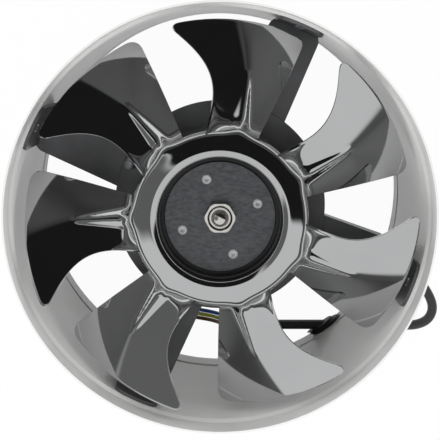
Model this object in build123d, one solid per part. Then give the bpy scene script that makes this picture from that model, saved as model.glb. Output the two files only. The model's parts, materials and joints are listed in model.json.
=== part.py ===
from build123d import *
from math import asin, atan2, cos, hypot, pi, radians, sin, tan
import os

os.makedirs("parts", exist_ok=True)

# Axial duct fan, millimetres. The fan axis is +Z and the rear rim stands on z = 0.

# Duct: rolled sheet with a pressed bead at the rear and a widened socket at the front.
duct_bore_radius = 125.0
duct_wall = 1.2
duct_length = 160.0
bead_low = 16.5
bead_width = 4.5
bead_height = 1.8
socket_length = 17.0
socket_step = 2.6
socket_gain = 1.7

# Motor carrier: round plate with four arms riveted to the duct.
plate_setback = 69.0
plate_thickness = 2.0
plate_radius = 67.4
arm_sheet = 2.0
arm_half_width = 17.0
arm_root_radius = 42.0
arm_angles = (66.8, 155.0, 245.4, 339.6)
arm_corner = 7.0
flange_start = 50.0
flange_end_gap = 13.0
flange_depth = 11.0
flange_depth_outer = 18.0
foot_half_width = 14.2
foot_corner = 6.0
foot_gap = 3.0
foot_rivet_edge = 13.0
foot_rivet_spacing = 21.0
foot_rivet_radius = 2.0
foot_rivet_head = 3.8
foot_rivet_tail = 0.6
arm_screw_inner_radius = 50.0
arm_screw_spacing = 13.5
screw_radius = 2.0
screw_head_radius = 3.9
screw_head_height = 2.4
screw_clearance = 0.2
arm_nut_flats = 7.0
nut_height = 3.2
screw_tail = 1.6
plate_edge_chamfer = 0.4

# Motor: outer rotor cup turning around a wound stator on a bearing tube.
shaft_radius = 5.0
bearing_radius = 13.0
bearing_width = 8.0
bearing_clearance = 0.05
bearing_shoulder = 1.2
bearing_tube_wall = 2.5
bearing_race = 2.2
bearing_recess = 0.5
rear_bearing_gap = 2.0
front_bearing_gap = 1.0
stator_flange_radius = 30.0
stator_flange_thickness = 4.0
motor_screw_place_radius = 23.0
stator_radius = 33.0
stator_height = 20.0
stator_gap = 13.0
slot_count = 12
slot_depth = 11.0
slot_width = 7.0
slot_mouth = 2.6
slot_lip = 3.0
winding_overhang = 5.5
winding_clearance = 0.4
winding_chamfer = 1.5
winding_lining = 1.0
air_gap = 0.4
cage_wall = 2.0
cage_overhang = 1.0
cup_wall = 1.5
cup_gap = 7.0
cup_depth = 44.0
cup_face_thickness = 3.0
cup_rim_height = 8.0
cup_rim_chamfer = 0.375
hub_plate_radius = 33.3
hub_plate_thickness = 2.0
hub_rivet_count = 4
hub_rivet_place_radius = 23.9
hub_rivet_angle = 19.4
hub_rivet_radius = 2.0
hub_rivet_head_radius = 2.95
hub_rivet_head_height = 1.2
hub_rivet_hole = 1.2
hub_rivet_hole_depth = 3.0
hub_rivet_edge = 0.3
hub_rivet_shoulder = 0.8
hub_rivet_rim = 0.7
hub_rivet_tail = 1.0
shaft_tail = 2.4
shaft_chamfer = 0.4
thread_chamfer = 1.0
circlip_radius = 7.6
circlip_thickness = 1.2
circlip_groove = 0.5
circlip_gap = 0.5
collar_radius = 7.0
collar_height = 3.0
washer_radius = 8.8
washer_height = 1.2
washer_chamfer = 0.4
cap_nut_flats = 17.0
cap_nut_hex_height = 5.5
cap_nut_dome_radius = 7.4
cap_nut_dome_height = 5.0
cap_nut_dome_root = 1.0
cap_nut_chamfer_height = 0.5
cap_nut_chamfer_width = 0.8
thread_engagement = 6.5

# Impeller: one pressed and polished sheet, hub and blades together.
blade_count = 7
blade_sheet = 1.4
blade_tip_clearance = 7.5
hub_sheet = 1.4
hub_collar_length = 38.0
hub_crown_setback = 2.0
hub_crown_radius = 42.0
hub_cone_drop = 19.5
hub_skirt_radius = 52.5
hub_skirt_depth = 40.0
# Both edges, as the share of the way from the skirt to the tip and the angle there.
leading_edge = (
    (-0.123, 51.5), (0.0, 47.6), (0.1462, 43.9), (0.2692, 42.1), (0.4231, 41.8), (0.5769, 43.6), (0.7308, 47.0),
    (0.8538, 50.1), (1.0308, 54.4),
)
trailing_edge = ((-0.123, 12.6), (0.2692, 12.1), (0.5, 12.0), (0.7308, 12.1), (1.0308, 12.4))
horn_fillet = 6.0
trailing_fillet = 6.5
root_lead_drop = 8.5
root_twist = 10.0
tip_lead_rise = 8.5
tip_trail_drop = 13.5
root_camber = 2.0
tip_camber = 4.0
root_lead_angle = 46.5
root_trail_angle = 12.4
tip_lead_angle = 53.0
tip_trail_angle = 12.3
dart_inset = 8.5
dart_reach = 35.5
dart_start_angle = 26.0
dart_end_angle = 27.3
dart_radius = 6.5
dart_tip_radius = 1.0
dart_sink = 2.2
surface_inset = 10.0
surface_overrun = 4.0
surface_lead_angle = 58.0
surface_sweep = 54.0
surface_rows = 7
surface_columns = 13

# Wiring: three cores from the stator to the sheathed lead, then out through the duct wall.
core_radius = 1.3
core_pitch = 2.9
lead_radius = 3.4
lead_start_x = 22.0
lead_y = -97.5
lead_z = 9.0
lead_overhang = 39.8
sleeve_radius = 5.0
sleeve_cap = 4.0
sleeve_length = 16.0
sleeve_taper = 4.8
sleeve_tip_wall = 0.4
sleeve_gap = 0.5
grommet_radius = 6.0
grommet_flange_radius = 7.2
grommet_flange_thickness = 2.0
grommet_reach = 4.0
relief_offset = 11.8
relief_tip_radius = 4.3
outlet_radius = 22.0
outlet_angle = -120.0
outlet_bore = 4.9
outlet_wall = 1.2
outlet_flange = 1.6
core_route = (
    (-11.0, -19.05, 98.5), (-11.0, -19.05, 83.0), (-15.0, -31.0, 76.0), (-23.0, -48.0, 70.0),
    (-30.0, -62.0, 62.0), (-28.5, -74.0, 55.0), (-18.7, -79.5, 50.0), (-4.0, -84.3, 40.5),
    (4.5, -92.0, 22.0), (11.0, -97.5, 9.0), (22.0, -97.5, 9.0),
)
lead_route = (
    (118.0, -97.5, 9.0), (127.0, -97.5, 9.0), (140.5, -99.5, 4.5), (151.0, -95.5, 3.6),
    (154.5, -86.0, 3.5), (150.0, -75.0, 3.5), (142.0, -64.5, 4.0), (131.5, -58.5, 8.0),
    (123.0, -65.0, 14.0), (121.5, -77.0, 20.0), (124.0, -89.5, 22.5), (122.5, -102.0, 22.5),
    (116.0, -114.5, 16.0), (104.5, -125.0, 9.0), (89.0, -132.0, 4.5), (72.5, -134.0, 3.5),
    (58.0, -131.5, 3.5), (44.0, -130.6, 3.5),
)
tail_route = (
    (-44.0, -130.6, 10.2), (-57.0, -131.5, 8.5), (-70.0, -130.0, 4.5), (-83.0, -124.0, 3.5), (-94.0, -115.0, 3.5),
)
hank_y = -151.0
hank_fold_radius = 20.4
hank_half_length = 34.5
hank_layers = 2
hank_waist_half_width = 8.0
tie_width = 9.0
tie_thickness = 0.8
core_tail_length = 26.0
core_tail_spread = 7.0
core_tail_start = 9.0
core_bundle_radius = 1.55
ferrule_radius = 1.7
ferrule_length = 8.0
ferrule_lift = 1.3

base = (Align.CENTER, Align.CENTER, Align.MIN)
plate_front = duct_length - plate_setback
plate_back = plate_front - plate_thickness
arm_back = plate_back - arm_sheet
duct_outer_radius = duct_bore_radius + duct_wall
flange_end = duct_bore_radius - flange_end_gap
foot_top = duct_length - socket_length - foot_gap
foot_rivet_levels = (foot_top - foot_rivet_edge - foot_rivet_spacing, foot_top - foot_rivet_edge)
arm_screw_radii = (arm_screw_inner_radius, arm_screw_inner_radius + arm_screw_spacing)
stator_low = plate_front + stator_gap
cup_low = plate_front + cup_gap
cup_front = cup_low + cup_depth
cup_outer_radius = stator_radius + air_gap + cage_wall + cup_wall
rear_bearing_low = plate_front + rear_bearing_gap
front_bearing_low = cup_front - cup_face_thickness - collar_height - bearing_width - front_bearing_gap
blade_tip_radius = duct_bore_radius - blade_tip_clearance
hub_crown_top = duct_length - hub_crown_setback
hub_collar_low = hub_crown_top - hub_collar_length
hub_cone_low = hub_crown_top - hub_cone_drop
hub_skirt_low = hub_cone_low - hub_skirt_depth
root_lead_level = hub_crown_top - root_lead_drop
root_trail_level = root_lead_level - root_twist
tip_lead_level = root_lead_level + tip_lead_rise
tip_trail_level = root_trail_level - tip_trail_drop
hank_height = 2 * lead_radius * hank_layers
# Where the lead's straight run meets the duct wall, to a tenth of a millimetre.
lead_wall_x = round((duct_bore_radius**2 - lead_y**2) ** 0.5, 1)
lead_exit_x = lead_wall_x + lead_overhang
relief_start_x = lead_wall_x + relief_offset


def disc(radius, low, high):
    return Pos(0, 0, low) * Cylinder(radius, high - low, align=base)


def tube(outer, inner, low, high):
    return disc(outer, low, high) - disc(inner, low, high)


def spun(lines):
    # Turns a closed outline of radius and height about the fan axis.
    return revolve(Plane.XZ * make_face(lines), Axis.Z)


def spun_points(points):
    return spun(Polyline(*points, close=True))


def polar(radius, angle, level=0.0):
    return (radius * cos(radians(angle)), radius * sin(radians(angle)), level)


def along_x(radius, start, end, end_radius=None):
    # Round bar or cone along the lead's straight run through the duct wall.
    length = end - start
    if end_radius is None:
        shape = Cylinder(radius, length, align=base)
    else:
        shape = Cone(radius, end_radius, length, align=base)
    return Pos(start, lead_y, lead_z) * Rot(0, 90, 0) * shape


def dome_arc(radius, level, height):
    # Quarter outline of a spherical cap, from its rim at level to its top on the axis.
    sphere = (radius**2 + height**2) / (2 * abs(height))
    half = asin(radius / sphere) / 2
    middle = level + height - (height / abs(height)) * sphere * (1 - cos(half))
    return ThreePointArc((radius, level), (sphere * sin(half), middle), (0, level + height))


def save(shape, node):
    export_step(shape, "parts/" + node + ".step")


def wall_outline(radius, spread):
    low = bead_low - spread
    high = bead_low + bead_width + spread
    middle = bead_low + bead_width / 2
    step_top = duct_length - socket_length
    step_low = step_top - socket_step
    wide = radius + socket_gain
    return (
        Line((radius, 0), (radius, low))
        + ThreePointArc((radius, low), (radius + bead_height, middle), (radius, high))
        + Line((radius, high), (radius, step_low))
        + Line((radius, step_low), (wide, step_top))
        + Line((wide, step_top), (wide, duct_length))
    )


def duct_casing():
    inner = wall_outline(duct_bore_radius, 0)
    outer = wall_outline(duct_outer_radius, duct_wall / 2)
    ends = Line((duct_bore_radius, 0), (duct_outer_radius, 0)) + Line(
        (duct_bore_radius + socket_gain, duct_length), (duct_outer_radius + socket_gain, duct_length)
    )
    shape = spun(inner + outer + ends)
    shape -= along_x(grommet_radius, lead_start_x, duct_outer_radius)
    hole = Cylinder(foot_rivet_radius, 4 * duct_wall)
    for angle in arm_angles:
        for level in foot_rivet_levels:
            shape -= Rot(0, 0, angle) * Pos(duct_bore_radius, 0, level) * Rot(0, 90, 0) * hole
    return shape


def plate_holes():
    return [Pos(*polar(r, a)) for a in arm_angles for r in arm_screw_radii]


def motor_screw_holes():
    return [Pos(*polar(motor_screw_place_radius, quarter)) for quarter in (0, 90, 180, 270)]


def mounting_plate():
    shape = disc(plate_radius, plate_back, plate_front)
    shape = chamfer(shape.edges().filter_by(GeomType.CIRCLE), plate_edge_chamfer)
    shape -= disc(bearing_radius + screw_clearance, plate_back, plate_front)
    shape -= Pos(*polar(outlet_radius, outlet_angle)) * disc(outlet_bore + outlet_wall, plate_back, plate_front)
    for place in plate_holes() + motor_screw_holes():
        shape -= place * disc(screw_radius + screw_clearance, plate_back, plate_front)
    return shape


def support_arm(angle):
    # Pressed arm: flat web, side flanges bent back, foot bent forward along the duct wall.
    web_outline = Pos((arm_root_radius + duct_bore_radius) / 2, 0) * RectangleRounded(
        duct_bore_radius - arm_root_radius, 2 * arm_half_width, arm_corner
    )
    web = Pos(0, 0, arm_back) * extrude(web_outline, arm_sheet)
    web &= disc(duct_bore_radius, arm_back, plate_back)
    foot_height = foot_top - arm_back
    foot_outline = Plane.YZ * Pos(0, arm_back + foot_height / 2) * RectangleRounded(
        2 * foot_half_width, foot_height, foot_corner
    )
    foot = extrude(foot_outline, duct_bore_radius + duct_wall)
    square_end = Pos(duct_bore_radius / 2, 0, arm_back) * Box(
        duct_bore_radius + duct_wall, 2 * foot_half_width, foot_corner, align=base
    )
    foot = (foot + square_end) & tube(duct_bore_radius, duct_bore_radius - arm_sheet, arm_back, foot_top)
    side = Plane.XZ * make_face(
        Polyline(
            (flange_start, plate_back), (flange_end, plate_back), (flange_end, arm_back),
            (flange_end - flange_depth / 2, plate_back - flange_depth_outer),
            (flange_start + flange_depth, plate_back - flange_depth), (flange_start, arm_back), close=True,
        )
    )
    shape = web + foot
    for edge in (arm_half_width, -arm_half_width + arm_sheet):
        shape += Pos(0, edge, 0) * extrude(side, arm_sheet)
    for radius in arm_screw_radii:
        shape -= Pos(radius, 0, 0) * disc(screw_radius + screw_clearance, arm_back, plate_back)
    for level in foot_rivet_levels:
        shape -= Pos(duct_bore_radius, 0, level) * Rot(0, 90, 0) * Cylinder(foot_rivet_radius, 4 * arm_sheet)
    return Rot(0, 0, angle) * shape


def screw(head_level, tip_level, direction):
    # Pan-head screw with its head's underside at head_level.
    crown = head_level + direction * screw_head_height
    shoulder = head_level + direction * screw_head_height / 3
    arc = dome_arc(screw_head_radius, shoulder, crown - shoulder)
    outline = Polyline(
        (0, crown), (0, tip_level), (screw_radius, tip_level), (screw_radius, head_level),
        (screw_head_radius, head_level), (screw_head_radius, shoulder),
    )
    return spun(outline + arc)


def hex_nut(flats, low, high, bore):
    blank = Pos(0, 0, low) * extrude(RegularPolygon(flats / 2, 6, major_radius=False), high - low)
    return blank - disc(bore, low, high)


def arm_screws():
    one = screw(plate_front, arm_back - nut_height - screw_tail, 1)
    return [place * one for place in plate_holes()]


def arm_nuts():
    one = hex_nut(arm_nut_flats, arm_back - nut_height, arm_back, screw_radius)
    return [place * one for place in plate_holes()]


def foot_rivets():
    head = foot_rivet_head / 3
    inside = duct_bore_radius - arm_sheet
    tail = inside - foot_rivet_tail
    outline = Polyline(
        (0, tail), (foot_rivet_radius, tail), (foot_rivet_radius + foot_rivet_tail, inside),
        (foot_rivet_radius, inside), (foot_rivet_radius, duct_outer_radius), (foot_rivet_head, duct_outer_radius),
    )
    dome = dome_arc(foot_rivet_head, duct_outer_radius, head)
    axis_line = Line((0, duct_outer_radius + head), (0, tail))
    one = Rot(0, 90, 0) * spun(outline + dome + axis_line)
    seated = one - duct_clip()
    return [Rot(0, 0, a) * Pos(0, 0, z) * seated for a in arm_angles for z in foot_rivet_levels]


def duct_clip():
    # The curved wall that the rivet heads bear on.
    sheet_pack = tube(duct_outer_radius, duct_bore_radius - arm_sheet, -foot_rivet_head, foot_rivet_head)
    hole = Rot(0, 90, 0) * Cylinder(foot_rivet_radius, duct_outer_radius, align=base)
    return sheet_pack - hole


def stator_housing():
    # Flange and bearing tube, with a shoulder between the two bearing seats.
    tube_outer = bearing_radius + bearing_tube_wall
    rear_seat = rear_bearing_low + bearing_width
    bore = bearing_radius - bearing_shoulder
    shape = disc(stator_flange_radius, plate_front, plate_front + stator_flange_thickness)
    shape += disc(tube_outer, plate_front, front_bearing_low + bearing_width)
    shape -= disc(bearing_radius, plate_front, rear_seat)
    shape -= disc(bore, rear_seat, front_bearing_low)
    shape -= disc(bearing_radius, front_bearing_low, front_bearing_low + bearing_width)
    shape -= Pos(*polar(outlet_radius, outlet_angle)) * disc(outlet_bore + outlet_wall, plate_front, stator_low)
    for place in motor_screw_holes():
        shape -= place * disc(screw_radius, plate_front, plate_front + stator_flange_thickness)
    return shape


def motor_screws():
    one = screw(plate_back, plate_front + stator_flange_thickness, -1)
    return [place * one for place in motor_screw_holes()]


def bearing(low):
    # Ring bearing with recessed shields.
    inner = shaft_radius + bearing_clearance
    high = low + bearing_width
    inner_race = inner + bearing_race
    outer_race = bearing_radius - bearing_race
    return spun_points(
        (
            (inner, low), (inner_race, low), (inner_race, low + bearing_recess), (outer_race, low + bearing_recess),
            (outer_race, low), (bearing_radius, low), (bearing_radius, high), (outer_race, high),
            (outer_race, high - bearing_recess), (inner_race, high - bearing_recess), (inner_race, high), (inner, high),
        )
    )


def slot_shape(width, mouth, low, high, inset):
    # One winding slot, open to the air gap through a narrow mouth.
    floor = stator_radius - slot_depth
    body = Pos(floor + (slot_depth - slot_lip) / 2 + inset / 2, 0, low) * Box(
        slot_depth - slot_lip - inset, width, high - low, align=base
    )
    throat = Pos(stator_radius - slot_lip / 2, 0, low) * Box(2 * slot_lip, mouth, high - low, align=base)
    return body, throat


def stator_core():
    high = stator_low + stator_height
    shape = tube(stator_radius, bearing_radius + bearing_tube_wall, stator_low, high)
    body, throat = slot_shape(slot_width, slot_mouth, stator_low, high, 0)
    for index in range(slot_count):
        shape -= Rot(0, 0, index * 360 / slot_count) * (body + throat)
    return shape


def stator_windings():
    # Slot bars joined by the end turns above and below the laminations.
    low = stator_low - winding_overhang
    high = stator_low + stator_height + winding_overhang
    width = slot_width - 2 * winding_clearance
    body, throat = slot_shape(width, slot_mouth, low, high, 2 * winding_clearance)
    outer = stator_radius - slot_lip - winding_clearance
    inner = bearing_radius + bearing_tube_wall + winding_clearance + winding_lining
    ring_low = stator_low - winding_clearance
    ring_high = stator_low + stator_height + winding_clearance
    ring = tube(outer, inner, low, ring_low)
    ring = chamfer(ring.edges().filter_by(GeomType.CIRCLE).group_by(Axis.Z)[0], winding_chamfer)
    shape = ring + Pos(0, 0, ring_low + ring_high) * Rot(180, 0, 0) * ring
    for index in range(slot_count):
        shape += Rot(0, 0, index * 360 / slot_count) * body
    shape -= disc(inner, ring_low, ring_high)
    return shape


def rotor_cage():
    inner = stator_radius + air_gap
    return tube(inner + cage_wall, inner, stator_low - cage_overhang, stator_low + stator_height + cage_overhang)


hub_rivet_places = [
    Pos(*polar(hub_rivet_place_radius, hub_rivet_angle + 360 / hub_rivet_count * index))
    for index in range(hub_rivet_count)
]


def rotor_cup():
    # Drawn cup with a flat front face and a rim that stands around the hub plate.
    face_low = cup_front - cup_face_thickness
    rim_top = cup_front + cup_rim_height
    shape = tube(cup_outer_radius, cup_outer_radius - cup_wall, cup_low, rim_top)
    shape += disc(cup_outer_radius, face_low, cup_front)
    shape -= disc(shaft_radius, face_low, cup_front)
    for place in hub_rivet_places:
        shape -= place * disc(hub_rivet_radius, face_low, cup_front)
    rim = shape.edges().filter_by(GeomType.CIRCLE).group_by(Axis.Z)[-1]
    return chamfer(rim, cup_rim_chamfer)


def hub_plate():
    top = cup_front + hub_plate_thickness
    shape = disc(hub_plate_radius, cup_front, top)
    shape = chamfer(shape.edges().filter_by(GeomType.CIRCLE).sort_by(Axis.Z)[-1], plate_edge_chamfer)
    shape -= disc(shaft_radius, cup_front, top)
    for place in hub_rivet_places:
        shape -= place * disc(hub_rivet_radius, cup_front, top)
    return shape


def hub_rivets():
    top = cup_front + hub_plate_thickness
    tail = cup_front - cup_face_thickness
    crown = top + hub_rivet_head_height
    one = spun_points(
        (
            (0, tail - hub_rivet_tail), (hub_rivet_head_radius, tail - hub_rivet_tail),
            (hub_rivet_head_radius, tail), (hub_rivet_radius, tail), (hub_rivet_radius, top),
            (hub_rivet_head_radius, top), (hub_rivet_head_radius - hub_rivet_edge, top + hub_rivet_shoulder),
            (hub_rivet_hole + hub_rivet_rim, crown), (hub_rivet_hole, crown - hub_rivet_edge),
            (hub_rivet_hole, crown - hub_rivet_hole_depth), (0, crown - hub_rivet_hole_depth),
        )
    )
    return [place * one for place in hub_rivet_places]


def motor_shaft():
    low = rear_bearing_low - shaft_tail
    top = cup_front + hub_plate_thickness + washer_height + thread_engagement
    collar_top = cup_front - cup_face_thickness
    groove_high = rear_bearing_low - circlip_gap
    groove_low = groove_high - circlip_thickness
    neck = shaft_radius - circlip_groove
    return spun_points(
        (
            (0, low), (shaft_radius - shaft_chamfer, low), (shaft_radius, low + shaft_chamfer),
            (shaft_radius, groove_low),
            (neck, groove_low), (neck, groove_high), (shaft_radius, groove_high),
            (shaft_radius, collar_top - collar_height), (collar_radius, collar_top - collar_height),
            (collar_radius, collar_top), (shaft_radius, collar_top), (shaft_radius, top - thread_chamfer),
            (shaft_radius - thread_chamfer, top), (0, top),
        )
    )


def shaft_circlip():
    high = rear_bearing_low - circlip_gap
    low = high - circlip_thickness
    ring = tube(circlip_radius, shaft_radius - circlip_groove, low, high)
    gap = Pos(shaft_radius, 0, low) * Box(2 * circlip_radius, shaft_radius, circlip_thickness, align=base)
    return ring - gap


def spring_washer():
    low = cup_front + hub_plate_thickness
    ring = tube(washer_radius, shaft_radius, low, low + washer_height)
    top = ring.edges().filter_by(GeomType.CIRCLE).sort_by(Axis.Z)[-2:]
    return chamfer(top.sort_by(SortBy.RADIUS)[-1], washer_chamfer)


def cap_nut():
    # Hexagon chamfered to a round face, with a closed dome over the thread.
    low = cup_front + hub_plate_thickness + washer_height
    hex_top = low + cap_nut_hex_height
    corner = cap_nut_flats / 2 / cos(radians(30))
    blank = Pos(0, 0, low) * extrude(RegularPolygon(corner, 6), cap_nut_hex_height)
    blank &= spun_points(
        (
            (0, low), (corner, low), (corner, hex_top - cap_nut_chamfer_height),
            (corner - cap_nut_chamfer_width, hex_top), (0, hex_top),
        )
    )
    dome_top = hex_top + cap_nut_dome_height
    neck_low = hex_top - cap_nut_dome_root
    neck_top = hex_top + cap_nut_dome_root
    side = Polyline((0, dome_top), (0, neck_low), (cap_nut_dome_radius, neck_low), (cap_nut_dome_radius, neck_top))
    dome = spun(side + dome_arc(cap_nut_dome_radius, neck_top, dome_top - neck_top))
    return blank + dome - disc(shaft_radius, low, low + thread_engagement)


def blade_level(radius, angle):
    # Height of the sheet's middle at a point of the blade.
    out = (radius - hub_skirt_radius) / (blade_tip_radius - hub_skirt_radius)
    lead_angle = root_lead_angle + (tip_lead_angle - root_lead_angle) * out
    trail_angle = root_trail_angle + (tip_trail_angle - root_trail_angle) * out
    across = (lead_angle - angle) / (lead_angle - trail_angle)
    lead = root_lead_level + (tip_lead_level - root_lead_level) * out
    trail = root_trail_level + (tip_trail_level - root_trail_level) * out
    camber = root_camber + (tip_camber - root_camber) * out
    return lead + (trail - lead) * across + camber * 4 * across * (1 - across)


def edge_line(shares):
    # Smooth line through an edge's points, from inside the skirt to beyond the tip.
    reach = blade_tip_radius - hub_skirt_radius
    return Spline(*[polar(hub_skirt_radius + reach * share, angle) for share, angle in shares])


def blade_outline():
    # Seen along the axis, with the tip's two corners rounded.
    lead = edge_line(leading_edge)
    trail = edge_line(trailing_edge)
    root = Line(lead @ 0, trail @ 0)
    beyond = RadiusArc(lead @ 1, trail @ 1, (lead @ 1).length)
    face = make_face(lead + beyond + trail + root) & Circle(blade_tip_radius)
    by_radius = face.vertices().sort_by(lambda v: hypot(v.X, v.Y))
    corner, horn = by_radius[-2:].sort_by(Axis.Y)
    face = fillet(horn, horn_fillet)
    corner = face.vertices().sort_by(lambda v: (v.center() - corner.center()).length)[0]
    return fillet(corner, trailing_fillet)


def blade():
    # Twisted sheet trimmed to the blade's outline.
    rows = []
    inner = hub_skirt_radius - surface_inset
    reach = blade_tip_radius + surface_overrun - inner
    for step in range(surface_rows):
        radius = inner + reach * step / (surface_rows - 1)
        row = []
        for column in range(surface_columns):
            angle = surface_lead_angle - surface_sweep * column / (surface_columns - 1)
            row.append(Vector(*polar(radius, angle, blade_level(radius, angle))))
        rows.append(row)
    sheet = Face.make_surface_from_array_of_points(rows)
    plate = thicken(sheet, blade_sheet / 2, both=True)
    prism = extrude(Pos(0, 0, hub_skirt_low / 2) * blade_outline(), duct_length)
    return plate & prism


def dart():
    # Pressed dart that stiffens the blade where it leaves the hub.
    inner = hub_skirt_radius - dart_inset
    outer = hub_skirt_radius + dart_reach
    start = Vector(*polar(inner, dart_start_angle, blade_level(inner, dart_start_angle)))
    end = Vector(*polar(outer, dart_end_angle, blade_level(outer, dart_end_angle)))
    sink = Vector(0, 0, dart_sink)
    run = end - start
    cone = Cone(dart_radius, dart_tip_radius, run.length, align=base)
    return Plane(origin=start - sink, z_dir=run) * cone


def hub_shell():
    # Collar on the rotor cup, rolled crown, cone and skirt in one wall of sheet.
    bore = cup_outer_radius
    crown_middle = (bore + hub_crown_radius) / 2
    crown_half = (hub_crown_radius - bore) / 2
    outer = (
        Line((bore, hub_collar_low), (bore, hub_crown_top - crown_half))
        + ThreePointArc(
            (bore, hub_crown_top - crown_half), (crown_middle, hub_crown_top),
            (hub_crown_radius, hub_crown_top - crown_half),
        )
        + Line((hub_crown_radius, hub_crown_top - crown_half), (hub_skirt_radius, hub_cone_low))
        + Line((hub_skirt_radius, hub_cone_low), (hub_skirt_radius, hub_skirt_low))
    )
    inner_half = crown_half - hub_sheet
    inner = (
        Line((bore + hub_sheet, hub_collar_low), (bore + hub_sheet, hub_crown_top - crown_half))
        + ThreePointArc(
            (bore + hub_sheet, hub_crown_top - crown_half), (crown_middle, hub_crown_top - hub_sheet),
            (hub_crown_radius - hub_sheet, hub_crown_top - crown_half),
        )
        + Line(
            (hub_crown_radius - hub_sheet, hub_crown_top - crown_half),
            (hub_skirt_radius - hub_sheet, hub_cone_low - hub_sheet),
        )
        + Line((hub_skirt_radius - hub_sheet, hub_cone_low - hub_sheet), (hub_skirt_radius - hub_sheet, hub_skirt_low))
    )
    ends = Line((bore, hub_collar_low), (bore + hub_sheet, hub_collar_low)) + Line(
        (hub_skirt_radius, hub_skirt_low), (hub_skirt_radius - hub_sheet, hub_skirt_low)
    )
    return spun(outer + inner + ends)


def hub_inside():
    # Everything within the middle of the hub's cone and skirt, where no blade reaches.
    middle = hub_sheet / 2
    crown_low = hub_crown_top - (hub_crown_radius - cup_outer_radius) / 2
    return spun_points(
        (
            (0, 0), (hub_skirt_radius - middle, 0), (hub_skirt_radius - middle, hub_cone_low),
            (hub_crown_radius - middle, crown_low), (hub_crown_radius - middle, duct_length), (0, duct_length),
        )
    )


def impeller():
    shape = hub_shell()
    one = blade() + dart() - hub_inside()
    for index in range(blade_count):
        shape += Rot(0, 0, index * 360 / blade_count) * one
    return shape


def corner_radii(points):
    # Each bend takes nearly half of its shorter run.
    share = 0.45
    radii = []
    for before, here, after in zip(points, points[1:], points[2:]):
        run_in = Vector(*here) - Vector(*before)
        run_out = Vector(*after) - Vector(*here)
        turn = radians(run_in.get_angle(run_out))
        radii.append(share * min(run_in.length, run_out.length) / tan(turn / 2))
    return radii


def cord(name, points, radius):
    radii = corner_radii(points)
    path = FilletPolyline(*points, radius=radii)
    shape = sweep(Plane(origin=path @ 0, z_dir=path % 0) * Circle(radius), path=path)
    print(name, "length", round(path.length, 1), "least radius", round(min(radii), 1))
    print("  volume over section times length", round(shape.volume / (pi * radius**2 * path.length), 4))
    return shape


def beside(points, shift):
    # Moves a route sideways in plan, for cores lying next to each other. The first run is upright.
    headings = [atan2(b[1] - a[1], b[0] - a[0]) for a, b in zip(points[1:], points[2:])]
    headings = [headings[0], headings[0]] + headings + [headings[-1]]
    moved = []
    for point, heading_in, heading_out in zip(points, headings, headings[1:]):
        heading = (heading_in + heading_out) / 2
        mitre = shift / cos((heading_out - heading_in) / 2)
        moved.append((point[0] - mitre * sin(heading), point[1] + mitre * cos(heading), point[2]))
    return moved


def wire_outlet_bush():
    # Flanged bush that lines the wiring hole in the plate and the stator flange.
    low = plate_back - outlet_flange
    high = plate_front + stator_flange_thickness
    shape = disc(outlet_bore + outlet_wall, low, high)
    shape += disc(outlet_bore + 2 * outlet_wall, low, plate_back)
    shape -= disc(outlet_bore, low, high)
    return Pos(*polar(outlet_radius, outlet_angle)) * shape


def sheath_sleeve():
    # Shrunk sleeve over the cut end of the sheath.
    end = lead_start_x + sleeve_length
    taper = end - sleeve_taper
    shape = along_x(sleeve_radius, lead_start_x, taper)
    shape += along_x(sleeve_radius, taper, end, lead_radius + sleeve_tip_wall)
    return shape - along_x(lead_radius, lead_start_x + sleeve_cap, end)


def lead_inside():
    return along_x(lead_radius, lead_start_x + sleeve_cap, lead_exit_x)


def cable_grommet():
    # Grommet moulded round the lead where it crosses the duct wall, with a tapered relief outside.
    low = -duct_length
    start = lead_start_x + sleeve_length + sleeve_gap
    body = along_x(grommet_radius, start, lead_exit_x)
    body &= tube(duct_outer_radius + grommet_reach, duct_bore_radius - grommet_reach, low, duct_length)
    lip = along_x(grommet_flange_radius, start, lead_exit_x)
    shape = body + (lip & tube(duct_bore_radius, duct_bore_radius - grommet_flange_thickness, low, duct_length))
    outside = tube(duct_outer_radius + grommet_flange_thickness, duct_outer_radius, low, duct_length)
    shape += lip & outside
    shape += along_x(grommet_radius, relief_start_x, lead_exit_x, relief_tip_radius)
    return shape - along_x(lead_radius, start, lead_exit_x)


def hank_outline():
    # Folded bundle, wide at its two folds and drawn in at the tie.
    half = hank_fold_radius + lead_radius
    lobes = []
    for side in (-1, 1):
        fold = Pos(side * hank_half_length, 0) * Circle(half)
        waist = Pos(side * tie_width, 0) * Circle(hank_waist_half_width)
        lobes.append(make_hull(fold.edges() + waist.edges()))
    bridge = Rectangle(2 * tie_width, 2 * hank_waist_half_width)
    return lobes[0] + lobes[1] + bridge


def hank_space():
    # What the lead's two ends stop against.
    return Pos(0, hank_y, 0) * extrude(hank_outline(), hank_height + lead_radius)


def lead_hank():
    return Pos(0, hank_y, 0) * extrude(hank_outline(), hank_height) - lead_tie()


def lead_tie():
    height = hank_height + tie_thickness
    width = 2 * (hank_waist_half_width + tie_thickness)
    outer = Box(tie_width, width, height, align=base)
    inner = Pos(0, 0, tie_thickness) * Box(
        tie_width, 2 * hank_waist_half_width, height - 2 * tie_thickness, align=base
    )
    return Pos(0, hank_y, 0) * (outer - inner)


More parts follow.
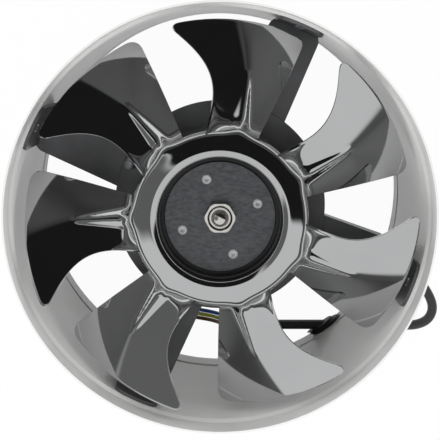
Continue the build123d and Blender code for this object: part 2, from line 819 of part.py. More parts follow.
def tail_cores():
    # The stripped cores fan out past the end of the sheath, each ending in a ferrule.
    end = Vector(*tail_route[-1])
    heading = (end - Vector(*tail_route[-2])).normalized()
    side = Vector(-heading.Y, heading.X, 0)
    cores = []
    ends = []
    for step in (-1, 0, 1):
        rise = core_bundle_radius * (1 if step == 0 else -0.5)
        start = end + side * (step * core_bundle_radius * 0.9) + Vector(0, 0, rise)
        bend = start + heading * core_tail_start
        tip = start + heading * core_tail_length + side * (step * core_tail_spread)
        tip = Vector(tip.X, tip.Y, ferrule_radius + ferrule_lift)
        cores.append(cord("tail core", [tuple(start), tuple(bend), tuple(tip)], core_radius))
        way = (tip - bend).normalized()
        ends.append(Plane(origin=tip, z_dir=way) * Cylinder(ferrule_radius, ferrule_length, align=base))
    return cores, ends


save(duct_casing(), "duct_casing")
save(mounting_plate(), "mounting_plate")
for number, arm_angle in enumerate(arm_angles, 1):
    save(support_arm(arm_angle), f"support_arm_{number}")
save(Compound(children=arm_screws()), "arm_screws")
save(Compound(children=arm_nuts()), "arm_nuts")
save(Compound(children=foot_rivets()), "foot_rivets")
save(stator_housing(), "stator_housing")
save(Compound(children=motor_screws()), "motor_screws")
save(bearing(rear_bearing_low), "rear_bearing")
save(bearing(front_bearing_low), "front_bearing")
save(stator_core(), "stator_core")
save(stator_windings(), "stator_windings")
save(rotor_cage(), "rotor_cage")
save(rotor_cup(), "rotor_cup")
save(hub_plate(), "hub_plate")
save(Compound(children=hub_rivets()), "hub_rivets")
save(motor_shaft(), "motor_shaft")
save(shaft_circlip(), "shaft_circlip")
save(spring_washer(), "spring_washer")
save(cap_nut(), "cap_nut")
save(impeller(), "impeller")
save(wire_outlet_bush(), "wire_outlet_bush")
save(cord("neutral core", beside(core_route, core_pitch), core_radius), "neutral_core")
save(cord("live core", beside(core_route, -core_pitch), core_radius), "live_core")
save(cord("earth core", core_route, core_radius), "earth_core")
save(sheath_sleeve(), "sheath_sleeve")
save(lead_inside(), "lead_inside")
save(cable_grommet(), "cable_grommet")
save(cord("mains lead", lead_route, lead_radius) - hank_space(), "mains_lead")
save(lead_hank(), "lead_hank")
save(lead_tie(), "lead_tie")
save(cord("lead tail", tail_route, lead_radius) - hank_space(), "lead_tail")
tails, ferrules = tail_cores()
for tail_name, tail in zip(("brown_tail", "earth_tail", "blue_tail"), tails):
    save(tail, tail_name)
save(Compound(children=ferrules), "ferrules")
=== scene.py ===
import json
import math
import bpy
import numpy as np
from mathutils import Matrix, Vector


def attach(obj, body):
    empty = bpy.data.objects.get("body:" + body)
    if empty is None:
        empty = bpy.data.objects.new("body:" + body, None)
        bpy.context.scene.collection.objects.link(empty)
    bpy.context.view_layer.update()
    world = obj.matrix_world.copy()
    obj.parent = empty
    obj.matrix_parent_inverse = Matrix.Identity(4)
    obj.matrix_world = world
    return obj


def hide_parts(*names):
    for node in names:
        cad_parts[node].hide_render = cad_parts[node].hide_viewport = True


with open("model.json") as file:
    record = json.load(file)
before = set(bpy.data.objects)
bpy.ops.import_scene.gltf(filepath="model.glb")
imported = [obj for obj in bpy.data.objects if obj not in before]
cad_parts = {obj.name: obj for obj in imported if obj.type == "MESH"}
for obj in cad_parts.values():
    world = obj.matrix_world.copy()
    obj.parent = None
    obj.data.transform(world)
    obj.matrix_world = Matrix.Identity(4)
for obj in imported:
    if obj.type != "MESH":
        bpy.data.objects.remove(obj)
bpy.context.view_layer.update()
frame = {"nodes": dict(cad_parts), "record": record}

nodes = frame["nodes"]
mm = 0.001


# small helpers

def deselectAll():
    if bpy.context.mode != "OBJECT":
        bpy.ops.object.mode_set(mode="OBJECT")
    bpy.ops.object.select_all(action="DESELECT")


def activate(piece):
    deselectAll()
    bpy.context.view_layer.objects.active = piece
    piece.select_set(True)


def bakePlace(piece):
    activate(piece)
    bpy.ops.object.transform_apply(location=True, rotation=True, scale=True)


def applyAll(piece):
    activate(piece)
    for mod in list(piece.modifiers):
        bpy.ops.object.modifier_apply(modifier=mod.name)


def smooth(piece, angle):
    activate(piece)
    bpy.ops.object.shade_smooth_by_angle(angle=math.radians(angle))


def dress(piece, material):
    piece.data.materials.clear()
    piece.data.materials.append(material)


def tidyMesh(piece):
    activate(piece)
    bpy.ops.object.mode_set(mode="EDIT")
    bpy.ops.mesh.select_all(action="SELECT")
    bpy.ops.mesh.remove_doubles(threshold=0.00001)
    bpy.ops.mesh.normals_make_consistent(inside=False)
    bpy.ops.object.mode_set(mode="OBJECT")


def addSheet(piece, thickness):
    # the sheet's thickness goes to the back of the surface
    wall = piece.modifiers.new("sheet", "SOLIDIFY")
    wall.thickness = thickness * mm
    wall.offset = -1
    applyAll(piece)


def spinOutline(name, outline, steps):
    # turns an outline of (radius, height) points in mm about the fan axis
    mesh = bpy.data.meshes.new(name)
    points = [(r * mm, 0.0, z * mm) for r, z in outline]
    mesh.from_pydata(points, [(i, i + 1) for i in range(len(points) - 1)], [])
    piece = bpy.data.objects.new(name, mesh)
    bpy.context.scene.collection.objects.link(piece)
    activate(piece)
    bpy.ops.object.mode_set(mode="EDIT")
    bpy.ops.mesh.select_all(action="SELECT")
    bpy.ops.mesh.spin(steps=steps, angle=2 * math.pi, center=(0, 0, 0), axis=(0, 0, 1))
    bpy.ops.object.mode_set(mode="OBJECT")
    return piece


# materials

def newMaterial(name, color, roughness, metallic=0.0, coat=0.0):
    mat = bpy.data.materials.new(name)
    mat.use_nodes = True
    tree = mat.node_tree
    shader = tree.nodes["Principled BSDF"]
    shader.inputs["Base Color"].default_value = (*color, 1.0)
    shader.inputs["Roughness"].default_value = roughness
    shader.inputs["Metallic"].default_value = metallic
    shader.inputs["Coat Weight"].default_value = coat
    return mat, tree, shader


def noiseAt(tree, scale, detail, stretch=(1, 1, 1)):
    coords = tree.nodes.new("ShaderNodeTexCoord")
    mapping = tree.nodes.new("ShaderNodeMapping")
    mapping.inputs["Scale"].default_value = stretch
    noise = tree.nodes.new("ShaderNodeTexNoise")
    noise.inputs["Scale"].default_value = scale
    noise.inputs["Detail"].default_value = detail
    tree.links.new(coords.outputs["Object"], mapping.inputs["Vector"])
    tree.links.new(mapping.outputs["Vector"], noise.inputs["Vector"])
    return noise.outputs["Fac"]


def varyColor(tree, shader, fac, dark, light, low=0.35, high=0.65):
    ramp = tree.nodes.new("ShaderNodeValToRGB")
    ramp.color_ramp.elements[0].position = low
    ramp.color_ramp.elements[0].color = (*dark, 1)
    ramp.color_ramp.elements[1].position = high
    ramp.color_ramp.elements[1].color = (*light, 1)
    tree.links.new(fac, ramp.inputs["Fac"])
    tree.links.new(ramp.outputs["Color"], shader.inputs["Base Color"])


def varyRoughness(tree, shader, fac, low, high):
    span = tree.nodes.new("ShaderNodeMapRange")
    span.inputs["To Min"].default_value = low
    span.inputs["To Max"].default_value = high
    tree.links.new(fac, span.inputs["Value"])
    tree.links.new(span.outputs["Result"], shader.inputs["Roughness"])


def addBump(tree, shader, fac, strength, distance):
    bump = tree.nodes.new("ShaderNodeBump")
    bump.inputs["Strength"].default_value = strength
    bump.inputs["Distance"].default_value = distance
    tree.links.new(fac, bump.inputs["Height"])
    tree.links.new(bump.outputs["Normal"], shader.inputs["Normal"])


def casingPaint():
    mat, tree, shader = newMaterial("casingPaint", (0.78, 0.78, 0.77), roughness=0.42, coat=0.1)
    clouds = noiseAt(tree, scale=9, detail=4)
    varyColor(tree, shader, clouds, dark=(0.75, 0.75, 0.74), light=(0.80, 0.80, 0.79))
    varyRoughness(tree, shader, noiseAt(tree, scale=35, detail=5), low=0.36, high=0.5)
    addBump(tree, shader, noiseAt(tree, scale=900, detail=3), strength=0.12, distance=0.3 * mm)
    return mat


def carrierSteel():
    mat, tree, shader = newMaterial("carrierSteel", (0.14, 0.145, 0.15), roughness=0.4, metallic=0.55)
    clouds = noiseAt(tree, scale=16, detail=5)
    varyColor(tree, shader, clouds, dark=(0.09, 0.092, 0.095), light=(0.17, 0.172, 0.178))
    varyRoughness(tree, shader, noiseAt(tree, scale=60, detail=5), low=0.3, high=0.5)
    addBump(tree, shader, noiseAt(tree, scale=500, detail=3), strength=0.1, distance=0.3 * mm)
    return mat


def plainMetal(name, color, roughness, grain=220.0, metallic=1.0):
    mat, tree, shader = newMaterial(name, color, roughness, metallic)
    darker = tuple(c * 0.8 for c in color)
    rougher = min(1.0, roughness * 1.25)
    varyColor(tree, shader, noiseAt(tree, scale=grain / 6, detail=4), darker, color)
    varyRoughness(tree, shader, noiseAt(tree, scale=grain, detail=4), roughness * 0.8, rougher)
    addBump(tree, shader, noiseAt(tree, scale=grain * 3, detail=2), strength=0.08, distance=0.2 * mm)
    return mat


def polishedChrome():
    mat, tree, shader = newMaterial("polishedChrome", (0.58, 0.585, 0.59), roughness=0.04, metallic=1.0)
    clouds = noiseAt(tree, scale=12, detail=3)
    varyColor(tree, shader, clouds, dark=(0.56, 0.565, 0.57), light=(0.60, 0.605, 0.61))
    varyRoughness(tree, shader, noiseAt(tree, scale=60, detail=6), low=0.025, high=0.075)
    addBump(tree, shader, noiseAt(tree, scale=28, detail=2), strength=0.05, distance=0.6 * mm)
    return mat


def brushedHub():
    # the brush marks run along X
    mat, tree, shader = newMaterial("brushedHub", (0.3, 0.31, 0.33), roughness=0.4, metallic=0.9)
    marks = noiseAt(tree, scale=330, detail=7, stretch=(1, 2, 1))
    fineMarks = noiseAt(tree, scale=300, detail=5, stretch=(1, 2.5, 1))
    grooves = noiseAt(tree, scale=900, detail=3, stretch=(1, 2.5, 1))
    varyColor(tree, shader, marks, (0.09, 0.095, 0.103), (0.15, 0.155, 0.163), low=0.3, high=0.7)
    varyRoughness(tree, shader, fineMarks, low=0.32, high=0.48)
    addBump(tree, shader, grooves, strength=0.15, distance=0.2 * mm)
    return mat


def blackCoat():
    mat, tree, shader = newMaterial("blackCoat", (0.012, 0.012, 0.013), roughness=0.38)
    clouds = noiseAt(tree, scale=40, detail=4)
    varyColor(tree, shader, clouds, dark=(0.008, 0.008, 0.009), light=(0.02, 0.02, 0.021))
    addBump(tree, shader, noiseAt(tree, scale=800, detail=3), strength=0.1, distance=0.2 * mm)
    return mat


def plastic(name, color, roughness, grain=600.0):
    mat, tree, shader = newMaterial(name, color, roughness)
    darker = tuple(c * 0.85 for c in color)
    varyColor(tree, shader, noiseAt(tree, scale=grain / 12, detail=3), darker, color)
    addBump(tree, shader, noiseAt(tree, scale=grain, detail=3), strength=0.1, distance=0.2 * mm)
    return mat


materials = {
    "casing_paint": casingPaint(),
    "carrier_steel": carrierSteel(),
    "zinc_fastener": plainMetal("zincFastener", (0.5, 0.51, 0.53), 0.3),
    "cast_housing": plainMetal("castHousing", (0.42, 0.43, 0.44), 0.5, grain=400),
    "bearing_steel": plainMetal("bearingSteel", (0.6, 0.61, 0.62), 0.2),
    "lamination": plainMetal("lamination", (0.28, 0.29, 0.3), 0.45),
    "winding_copper": plainMetal("windingCopper", (0.5, 0.2, 0.08), 0.35, grain=900, metallic=0.8),
    "black_cup": blackCoat(),
    "brushed_hub": brushedHub(),
    "rivet_steel": plainMetal("rivetSteel", (0.82, 0.83, 0.84), 0.3, metallic=0.6),
    "nut_plating": plainMetal("nutPlating", (0.80, 0.78, 0.74), 0.12),
    "impeller_chrome": polishedChrome(),
    "black_rubber": plastic("blackRubber", (0.02, 0.02, 0.021), 0.6),
    "core_blue": plastic("coreBlue", (0.03, 0.09, 0.4), 0.4),
    "core_brown": plastic("coreBrown", (0.16, 0.065, 0.025), 0.4),
    "core_earth": plastic("coreEarth", (0.55, 0.62, 0.06), 0.4),
    "black_sheath": plastic("blackSheath", (0.035, 0.035, 0.036), 0.48),
    "tie_plastic": plastic("tiePlastic", (0.02, 0.02, 0.02), 0.5),
    "ferrule_tin": plainMetal("ferruleTin", (0.7, 0.7, 0.71), 0.25),
}
slotOf = {s["node"]: s["material_slot"] for s in frame["record"]["subparts"]}
for nodeName, node in nodes.items():
    dress(node, materials[slotOf[nodeName]])
print("materials done")


# impeller: seven pressed blades on a hub with a roof-shaped front; sizes in mm, slopes and turns in degrees

hubSpec = {
    "bore": 36.9,
    "boreLow": 120.0,
    "lip": 1.0,
    "ridge": 40.5,
    "ridgeTop": 158.0,
    "ridgeRound": 3.0,
    "innerSlope": 15.0,
    "outerSlope": 16.0,
    "skirt": 52.5,
    "skirtLow": 98.5,
    "corner": 5.0,
    "sheet": 1.4,
    "bulge": 2.0,
    "bulgeWidth": 6.5,
    "bulgeStart": 46.0,
    "bulgeRise": 6.0,
    "steps": 252,
    "boreSteps": 4,
    "arcSteps": 6,
    "frontSteps": 6,
    "cornerSteps": 10,
    "skirtSteps": 9,
}

leadEdge = {
    "radii": (44.5, 52.5, 62.0, 70.0, 80.0, 90.0, 100.0, 108.0, 117.5),
    "turns": (51.5, 47.6, 43.9, 42.1, 41.8, 43.6, 47.0, 50.1, 53.6),
    "degree": 5,
}

trailEdge = {
    "radii": (44.5, 70.0, 85.0, 100.0, 117.5),
    "turns": (12.6, 12.1, 12.0, 12.1, 12.4),
    "degree": 2,
}

bladeSpec = {
    "count": 7,
    "tipRadius": 117.5,
    "middle": 85.0,
    "hornRound": 6.0,
    "tailRound": 6.5,
    "leadTurn": (46.5, 53.0),
    "trailTurn": (12.4, 12.3),
    "rootLevels": (149.5, 139.5),
    "tipLevels": (158.0, 126.0),
    "camber": (2.0, 2.5),
    "foldRoot": (52.5, 26.0),
    "foldKnee": (87.0, 27.3),
    "foldTip": (117.0, 32.7),
    "foldSoft": 2.2,
    "dartHeight": 2.0,
    "dartWidth": 7.5,
    "dartEnd": 88.0,
    "dartTip": 0.25,
    "dartReach": 1.3,
    "rootFillet": 6.0,
    "rootSink": 0.4,
    "rootTop": 0.91,
    "edgeRound": 0.25,
    "edgeSteps": 2,
    "edgeLimit": 60,
    "smoothLimit": 35,
    "across": 56,
    "crowding": 0.75,
    "along": 40,
    "rootRows": 12,
}


def between(pair, share):
    return pair[0] + (pair[1] - pair[0]) * share


def cornerLevel(h):
    # height at which the skirt starts to round over to the sloping front
    slope = math.radians(h["outerSlope"])
    ridgeEnd = h["ridge"] + h["ridgeRound"] * math.sin(slope)
    ridgeLevel = h["ridgeTop"] - h["ridgeRound"] * (1 - math.cos(slope))
    frontEnd = h["skirt"] - h["corner"] * (1 - math.sin(slope))
    return ridgeLevel - (frontEnd - ridgeEnd) * math.tan(slope) - h["corner"] * math.cos(slope)


def edgeTurn(edge, radius):
    # smooth line through the edge's points
    middle = bladeSpec["middle"]
    fit = np.polyfit(np.array(edge["radii"]) - middle, edge["turns"], edge["degree"])
    return np.polyval(fit, np.clip(radius, min(edge["radii"]), max(edge["radii"])) - middle)


def foldTurn(s, radius):
    # the fold runs straight from the root to the knee, and from there to the tip
    inner, knee, outer = s["foldRoot"], s["foldKnee"], s["foldTip"]
    first = inner[1] + (knee[1] - inner[1]) * (radius - inner[0]) / (knee[0] - inner[0])
    second = knee[1] + (outer[1] - knee[1]) * (radius - knee[0]) / (outer[0] - knee[0])
    return np.where(radius < knee[0], first, second)


def bladeHeight(s, radius, turn):
    # height of the front face: two facets meeting at the fold, and the dart on the fold's inner half
    skirt = hubSpec["skirt"]
    out = (radius - skirt) / (s["tipRadius"] - skirt)
    lead = between(s["leadTurn"], out)
    trail = between(s["trailTurn"], out)
    leadLevel = between((s["rootLevels"][0], s["tipLevels"][0]), out)
    trailLevel = between((s["rootLevels"][1], s["tipLevels"][1]), out)
    fold = foldTurn(s, radius)
    foldShare = (lead - fold) / (lead - trail)
    foldLevel = leadLevel + (trailLevel - leadLevel) * foldShare + between(s["camber"], out)
    slopeLead = (leadLevel - foldLevel) / (lead - fold)
    slopeTrail = (foldLevel - trailLevel) / (fold - trail)
    off = turn - fold
    bend = np.sqrt(off**2 + s["foldSoft"] ** 2)
    height = foldLevel + (slopeLead + slopeTrail) / 2 * off - (slopeTrail - slopeLead) / 2 * bend
    left = np.clip((s["dartEnd"] - radius) / (s["dartEnd"] - skirt), 0, s["dartReach"])
    width = s["dartWidth"] * (s["dartTip"] + (1 - s["dartTip"]) * left)
    side = np.clip(np.abs(np.radians(off) * radius / width), 0, 1)
    return height + s["dartHeight"] * np.sqrt(left) * (0.5 + 0.5 * np.cos(np.pi * side))


def tipReach(s, share):
    # radius at which the blade ends, with both corners of the tip rounded
    horn = s["tipRadius"] - s["hornRound"]
    tail = s["tipRadius"] - s["tailRound"]
    leadTip = float(edgeTurn(leadEdge, np.array(horn)))
    trailTip = float(edgeTurn(trailEdge, np.array(tail)))
    hornMiddle = leadTip - math.degrees(math.asin(s["hornRound"] / horn))
    tailMiddle = trailTip + math.degrees(math.asin(s["tailRound"] / tail))
    turn = leadTip + (trailTip - leadTip) * share
    hornSide = np.radians(np.maximum(turn - hornMiddle, 0)) * horn
    tailSide = np.radians(np.maximum(tailMiddle - turn, 0)) * tail
    hornArc = horn + np.sqrt(np.maximum(s["hornRound"] ** 2 - hornSide**2, 0))
    tailArc = tail + np.sqrt(np.maximum(s["tailRound"] ** 2 - tailSide**2, 0))
    reach = np.where(turn > hornMiddle, hornArc, s["tipRadius"])
    return np.where(turn < tailMiddle, tailArc, reach)


def rootBend(h, s, share):
    # the root leaves the hub along its rounded corner and bends into the blade
    low = cornerLevel(h)
    turn = float(edgeTurn(leadEdge, h["skirt"])) * (1 - share) + trailEdge["turns"][0] * share
    level = bladeHeight(s, h["skirt"], turn)
    top = np.minimum(level + s["rootFillet"], low + h["corner"] * s["rootTop"])
    tilt = np.arcsin(np.clip((top - low) / h["corner"], 0, 1))
    start = h["skirt"] - h["corner"] * (1 - np.cos(tilt)) - s["rootSink"]
    bendAt = start + (top - level) * np.tan(tilt)
    return top, start, bendAt, bendAt + s["rootFillet"]


def bladePoints(h, s):
    # rows of points from the hub to the tip, each row from the leading to the trailing edge
    steps = np.linspace(0, 1, s["across"] + 1)
    share = (1 - np.cos(np.pi * steps)) / 2 * s["crowding"] + steps * (1 - s["crowding"])
    reach = tipReach(s, share)
    top, start, bendAt, end = rootBend(h, s, share)
    rootRows = np.linspace(0, 1, s["rootRows"] + 1)[:-1]
    bladeRows = np.linspace(1, 2, s["along"] + 1)
    rows = [*rootRows, *bladeRows]
    points = []
    for step in rows:
        left = max(0.0, 1 - step)
        radius = left**2 * start + 2 * left * (1 - left) * bendAt + (1 - left) ** 2 * end
        radius = radius + (reach - end) * max(0.0, step - 1)
        turn = edgeTurn(leadEdge, radius) * (1 - share) + edgeTurn(trailEdge, radius) * share
        height = bladeHeight(s, radius, turn)
        height = height + left**2 * (top - height)
        points += list(zip(radius * np.cos(np.radians(turn)), radius * np.sin(np.radians(turn)), height))
    return len(rows), points


def makeBlade(h, s):
    rowCount, points = bladePoints(h, s)
    span = s["tipRadius"] * mm
    bpy.ops.mesh.primitive_grid_add(x_subdivisions=s["across"], y_subdivisions=rowCount - 1, size=span)
    blade = bpy.context.object
    blade.name = "impellerBlade"
    assert len(blade.data.vertices) == len(points)
    for vert, point in zip(blade.data.vertices, points):
        vert.co = Vector(point) * mm
    addSheet(blade, h["sheet"])
    tidyMesh(blade)
    edge = blade.modifiers.new("edge", "BEVEL")
    edge.width = s["edgeRound"] * mm
    edge.segments = s["edgeSteps"]
    edge.limit_method = "ANGLE"
    edge.angle_limit = math.radians(s["edgeLimit"])
    applyAll(blade)
    return blade


def arcPoints(middle, radius, first, last, count):
    turns = [math.radians(first + (last - first) * k / count) for k in range(count + 1)]
    return [(middle[0] + radius * math.cos(t), middle[1] + radius * math.sin(t)) for t in turns]


def hubOutline(h):
    # up the bore, over the ridge, down the sloping front and down the skirt
    slope = math.radians(h["innerSlope"])
    inner = 90 + h["innerSlope"]
    outer = 90 - h["outerSlope"]
    ridgeMiddle = (h["ridge"], h["ridgeTop"] - h["ridgeRound"])
    ridgeArc = arcPoints(ridgeMiddle, h["ridgeRound"], inner, outer, h["arcSteps"])
    lipRadius = h["bore"] + h["lip"] * (1 - math.sin(slope))
    lipTop = ridgeArc[0][1] - (ridgeArc[0][0] - lipRadius) * math.tan(slope)
    lipMiddle = (h["bore"] + h["lip"], lipTop - h["lip"] * math.cos(slope))
    low = cornerLevel(h)
    corner = arcPoints((h["skirt"] - h["corner"], low), h["corner"], outer, 0, h["cornerSteps"])
    line = [(h["bore"], z) for z in np.linspace(h["boreLow"], lipMiddle[1], h["boreSteps"] + 1)[:-1]]
    line += arcPoints(lipMiddle, h["lip"], 180, inner, h["arcSteps"])
    line += ridgeArc
    for k in range(1, h["frontSteps"]):
        line.append(tuple(Vector(ridgeArc[-1]).lerp(Vector(corner[0]), k / h["frontSteps"])))
    line += corner
    return line + [(h["skirt"], z) for z in np.linspace(low, h["skirtLow"], h["skirtSteps"] + 1)[1:]]


def makeHub(h, s):
    # the hub bulges a little where each blade's dart runs over it
    hub = spinOutline("impellerHub", hubOutline(h), h["steps"])
    pitch = 360 / s["count"]
    for vert in hub.data.vertices:
        flat = math.hypot(vert.co.x, vert.co.y)
        if flat < h["bulgeStart"] * mm:
            continue
        turn = math.degrees(math.atan2(vert.co.y, vert.co.x))
        off = (turn - s["foldRoot"][1] + pitch / 2) % pitch - pitch / 2
        rise = min(1.0, (flat / mm - h["bulgeStart"]) / h["bulgeRise"])
        push = h["bulge"] * rise * math.exp(-((off / h["bulgeWidth"]) ** 2))
        vert.co.x *= 1 + push * mm / flat
        vert.co.y *= 1 + push * mm / flat
    tidyMesh(hub)
    addSheet(hub, h["sheet"])
    return hub


def makeImpeller(h, s):
    parts = [makeHub(h, s)]
    blade = makeBlade(h, s)
    for index in range(s["count"]):
        copy = blade.copy()
        copy.data = blade.data.copy()
        bpy.context.scene.collection.objects.link(copy)
        copy.rotation_euler = (0, 0, math.radians(360 / s["count"] * index))
        bakePlace(copy)
        parts.append(copy)
    bpy.data.objects.remove(blade)
    deselectAll()
    for part in parts:
        part.select_set(True)
    bpy.context.view_layer.objects.active = parts[0]
    bpy.ops.object.join()
    impeller = bpy.context.object
    impeller.name = "impellerBody"
    smooth(impeller, s["smoothLimit"])
    dress(impeller, materials["impeller_chrome"])
    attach(impeller, "rotor")
    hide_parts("impeller")


makeImpeller(hubSpec, bladeSpec)
print("impeller done")


# supply lead: the same points as the part's route, in metres

leadSpec = {
    "diameter": 0.0068,
    "exit": (0.118, -0.0975, 0.009),
    "hankY": -0.151,
    "hankSide": ((0.0235, 0.0165), (0.010, 0.0045), (-0.010, 0.0045), (-0.0235, 0.0165)),
    "foldRadius": 0.0204,
    "foldX": 0.0345,
    "foldStep": 30,
    "layers": (0.0035, 0.0102),
}
leadRoute = [
    leadSpec["exit"], (0.127, -0.0975, 0.009), (0.1405, -0.0995, 0.0045), (0.151, -0.0955, 0.0036),
    (0.1545, -0.086, 0.0035), (0.150, -0.075, 0.0035), (0.142, -0.0645, 0.004), (0.1315, -0.0585, 0.008),
    (0.123, -0.065, 0.014), (0.1215, -0.077, 0.020), (0.124, -0.0895, 0.0225), (0.1225, -0.102, 0.0225),
    (0.116, -0.1145, 0.016), (0.1045, -0.125, 0.009), (0.089, -0.132, 0.0045), (0.0725, -0.134, 0.0035),
    (0.058, -0.1315, 0.0035), (0.044, -0.1306, 0.0035),
]
tailRoute = [
    (-0.044, -0.1306, 0.0102), (-0.057, -0.1315, 0.0085), (-0.070, -0.130, 0.0045),
    (-0.083, -0.124, 0.0035), (-0.094, -0.115, 0.0035),
]


def foldPoints(c, x, first, levels):
    # half a turn round one end of the hank
    over = c["foldRadius"] / math.cos(math.radians(c["foldStep"] / 2))
    points = []
    for k, level in enumerate(levels):
        turn = math.radians(first + c["foldStep"] * (k + 0.5))
        points.append((x + over * math.cos(turn), c["hankY"] + over * math.sin(turn), level))
    return points


def hankTurns(c):
    # near side, left fold, far side, right fold; then a second near side lies on the first
    low, high = c["layers"]
    corners = 180 // c["foldStep"]
    flat = [low] * corners
    rising = [low + (high - low) * k / (corners - 1) for k in range(corners)]
    near = [(x, c["hankY"] + y) for x, y in c["hankSide"]]
    far = [(-x, c["hankY"] - y) for x, y in c["hankSide"]]
    points = [(*place, low) for place in near]
    points += foldPoints(c, -c["foldX"], 90, flat)
    points += [(*place, low) for place in far]
    points += foldPoints(c, c["foldX"], -90, rising)
    return points + [(*place, high) for place in near]


def makeCable(name, points, diameter, material):
    curve = bpy.data.curves.new(name, "CURVE")
    curve.dimensions = "3D"
    line = curve.splines.new("NURBS")
    line.points.add(len(points) - 1)
    for place, point in zip(line.points, points):
        place.co = (*point, 1.0)
    line.order_u = 3
    line.use_endpoint_u = True
    line.resolution_u = 8
    curve.bevel_depth = diameter / 2
    curve.bevel_resolution = 6
    curve.use_fill_caps = True
    cable = bpy.data.objects.new(name, curve)
    bpy.context.scene.collection.objects.link(cable)
    cable.data.materials.append(material)
    return cable


def pathLength(cable):
    plain = cable.data.copy()
    plain.bevel_depth = 0
    probe = bpy.data.objects.new("probe", plain)
    bpy.context.scene.collection.objects.link(probe)
    mesh = bpy.data.meshes.new_from_object(probe)
    spots = [v.co.copy() for v in mesh.vertices]
    bpy.data.objects.remove(probe)
    return sum((b - a).length for a, b in zip(spots, spots[1:]))


leadPoints = leadRoute + hankTurns(leadSpec) + tailRoute
lead = makeCable("supplyLead", leadPoints, leadSpec["diameter"], materials["black_sheath"])
leadLength = pathLength(lead)
print("lead length", round(leadLength, 3))
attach(lead, "casing")
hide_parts("mains_lead", "lead_hank", "lead_tail")
print("lead done")


# camera, floor and light

viewSpec = {
    "place": (0.0, 0.1, 0.8408),
    "tilt": 5.33,
    "lens": 96.26,
    "sensor": 36.0,
    "shift": -0.14,
    "nearest": 0.01,
}


def makeCamera(v):
    data = bpy.data.cameras.new("camera")
    data.lens = v["lens"]
    data.sensor_width = v["sensor"]
    data.shift_y = v["shift"]
    data.clip_start = v["nearest"]
    cam = bpy.data.objects.new("camera", data)
    cam.location = v["place"]
    cam.rotation_euler = (-math.radians(v["tilt"]), 0, 0)
    bpy.context.scene.collection.objects.link(cam)
    bpy.context.scene.camera = cam


# node helpers: each gives back the socket to go on with

def mathOf(tree, operation, first, second):
    step = tree.nodes.new("ShaderNodeMath")
    step.operation = operation
    for socket, value in zip(step.inputs, (first, second)):
        if isinstance(value, float):
            socket.default_value = value
        else:
            tree.links.new(value, socket)
    return step.outputs["Value"]


def spanOf(tree, source, start, end):
    span = tree.nodes.new("ShaderNodeMapRange")
    span.interpolation_type = "SMOOTHSTEP"
    span.inputs["From Min"].default_value = start
    span.inputs["From Max"].default_value = end
    tree.links.new(source, span.inputs["Value"])
    return span.outputs["Result"]


def mixOf(tree, factor, first, second):
    mix = tree.nodes.new("ShaderNodeMix")
    mix.data_type = "RGBA"
    tree.links.new(factor, mix.inputs["Factor"])
    for socket, value in ((mix.inputs["A"], first), (mix.inputs["B"], second)):
        if isinstance(value, float):
            socket.default_value = (value, value, value, 1)
        else:
            tree.links.new(value, socket)
    return mix.outputs["Result"]


def dotWith(tree, source, direction):
    dot = tree.nodes.new("ShaderNodeVectorMath")
    dot.operation = "DOT_PRODUCT"
    dot.inputs[1].default_value = direction
    tree.links.new(source, dot.inputs[0])
    return dot.outputs["Value"]


def productOf(tree, first, second):
    product = tree.nodes.new("ShaderNodeVectorMath")
    product.operation = "MULTIPLY"
    tree.links.new(first, product.inputs[0])
    tree.links.new(second, product.inputs[1])
    return product.outputs["Vector"]


floorSpec = {
    "size": 8,
    "level": -0.0002,
    "color": (0.86, 0.86, 0.86),
    "roughness": 0.8,
    "white": 0.96,
}


def makeFloor(f):
    # nearly white to the camera, in mirrors and through glass; the small plain share carries the shadow
    bpy.ops.mesh.primitive_plane_add(size=f["size"], location=(0, 0, f["level"]))
    floor = bpy.context.object
    floor.name = "floor"
    mat, tree, shader = newMaterial("floorWhite", f["color"], f["roughness"])
    glow = tree.nodes.new("ShaderNodeEmission")
    glow.inputs["Color"].default_value = (1, 1, 1, 1)
    path = tree.nodes.new("ShaderNodeLightPath").outputs
    seen = mathOf(tree, "MAXIMUM", path["Is Camera Ray"], path["Is Glossy Ray"])
    seen = mathOf(tree, "MAXIMUM", seen, path["Is Transmission Ray"])
    blend = tree.nodes.new("ShaderNodeMixShader")
    tree.links.new(mathOf(tree, "MULTIPLY", seen, f["white"]), blend.inputs["Fac"])
    tree.links.new(shader.outputs["BSDF"], blend.inputs[1])
    tree.links.new(glow.outputs["Emission"], blend.inputs[2])
    tree.links.new(blend.outputs["Shader"], tree.nodes["Material Output"].inputs["Surface"])
    dress(floor, mat)


worldSpec = {
    "room": 0.95,
    "backdrop": 1.0,
    "pale": 0.765,
    "dark": 0.012,
    "turn": (0.42, 0.906, -0.12),
    "turnEdge": (-0.03, 0.03),
    "screen": 0.16,
    "screenAt": (-0.5, 0.0, 0.866),
    "screenEdge": (0.94, 0.975),
    "belt": (0.18, 0.08),
    "beltFade": (0.30, 0.70),
    "beltTilt": (-0.05, -0.10, 1.0),
    "beltLow": (0.22, 0.32),
    "beltHigh": (0.70, 0.74),
    "grain": (0.5, 1.45),
    "grainSize": 4.5,
    "grainEdge": (0.35, 0.65),
}


def upperRoom(tree, around, w):
    # a pale side and a dark side, and one grey screen
    darkSide = spanOf(tree, dotWith(tree, around, w["turn"]), *w["turnEdge"])
    screened = spanOf(tree, dotWith(tree, around, w["screenAt"]), *w["screenEdge"])
    return mixOf(tree, screened, mixOf(tree, darkSide, w["pale"], w["dark"]), w["screen"])


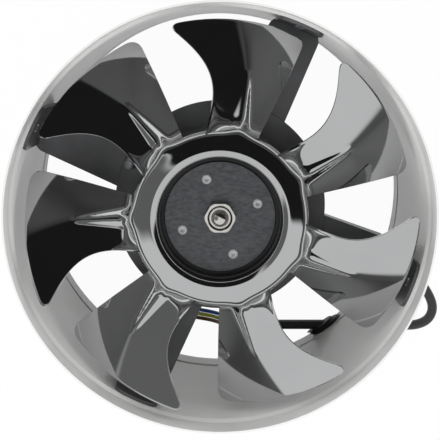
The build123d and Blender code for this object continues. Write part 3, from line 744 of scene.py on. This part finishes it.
def greyBelt(tree, around, level, w):
    # streaked, and darker towards its upper edge
    grain = tree.nodes.new("ShaderNodeTexNoise")
    grain.inputs["Scale"].default_value = w["grainSize"]
    tree.links.new(around, grain.inputs["Vector"])
    belt = mixOf(tree, spanOf(tree, level, *w["beltFade"]), *w["belt"])
    streaks = mixOf(tree, spanOf(tree, grain.outputs["Fac"], *w["grainEdge"]), *w["grain"])
    return productOf(tree, belt, streaks)


def makeWorld(w):
    # white to the camera and through glass; mirrors see white low down, then the belt and the upper room
    world = bpy.data.worlds.new("studio")
    bpy.context.scene.world = world
    world.use_nodes = True
    tree = world.node_tree
    tree.nodes.clear()
    around = tree.nodes.new("ShaderNodeTexCoord").outputs["Generated"]
    level = dotWith(tree, around, (0, 0, 1))
    tilted = dotWith(tree, around, w["beltTilt"])
    belt = greyBelt(tree, around, level, w)
    lower = mixOf(tree, spanOf(tree, level, *w["beltLow"]), w["backdrop"], belt)
    upper = upperRoom(tree, around, w)
    mirrored = mixOf(tree, spanOf(tree, tilted, *w["beltHigh"]), lower, upper)
    path = tree.nodes.new("ShaderNodeLightPath").outputs
    lit = mixOf(tree, path["Is Glossy Ray"], w["room"], mirrored)
    clear = mixOf(tree, path["Is Transmission Ray"], lit, w["backdrop"])
    seen = mixOf(tree, path["Is Camera Ray"], clear, w["backdrop"])
    light = tree.nodes.new("ShaderNodeBackground")
    out = tree.nodes.new("ShaderNodeOutputWorld")
    tree.links.new(seen, light.inputs["Color"])
    tree.links.new(light.outputs["Background"], out.inputs["Surface"])


lampSpecs = (
    {"name": "keyLamp", "place": (-0.8, -1.0, 1.6), "size": 1.0, "power": 9},
    {"name": "sideLamp", "place": (1.2, -0.5, 1.2), "size": 0.8, "power": 3},
)
lampAim = (0, 0, 0.08)


def addLamp(l):
    # no mirror shows the lamps
    data = bpy.data.lights.new(l["name"], "AREA")
    data.shape = "SQUARE"
    data.size = l["size"]
    data.energy = l["power"]
    lamp = bpy.data.objects.new(l["name"], data)
    lamp.location = l["place"]
    lamp.rotation_euler = (Vector(lampAim) - Vector(l["place"])).to_track_quat("-Z", "Y").to_euler()
    lamp.visible_glossy = False
    bpy.context.scene.collection.objects.link(lamp)


makeCamera(viewSpec)
makeFloor(floorSpec)
makeWorld(worldSpec)
for lampSpec in lampSpecs:
    addLamp(lampSpec)
bpy.context.scene.view_settings.view_transform = "Standard"
print("stage done")
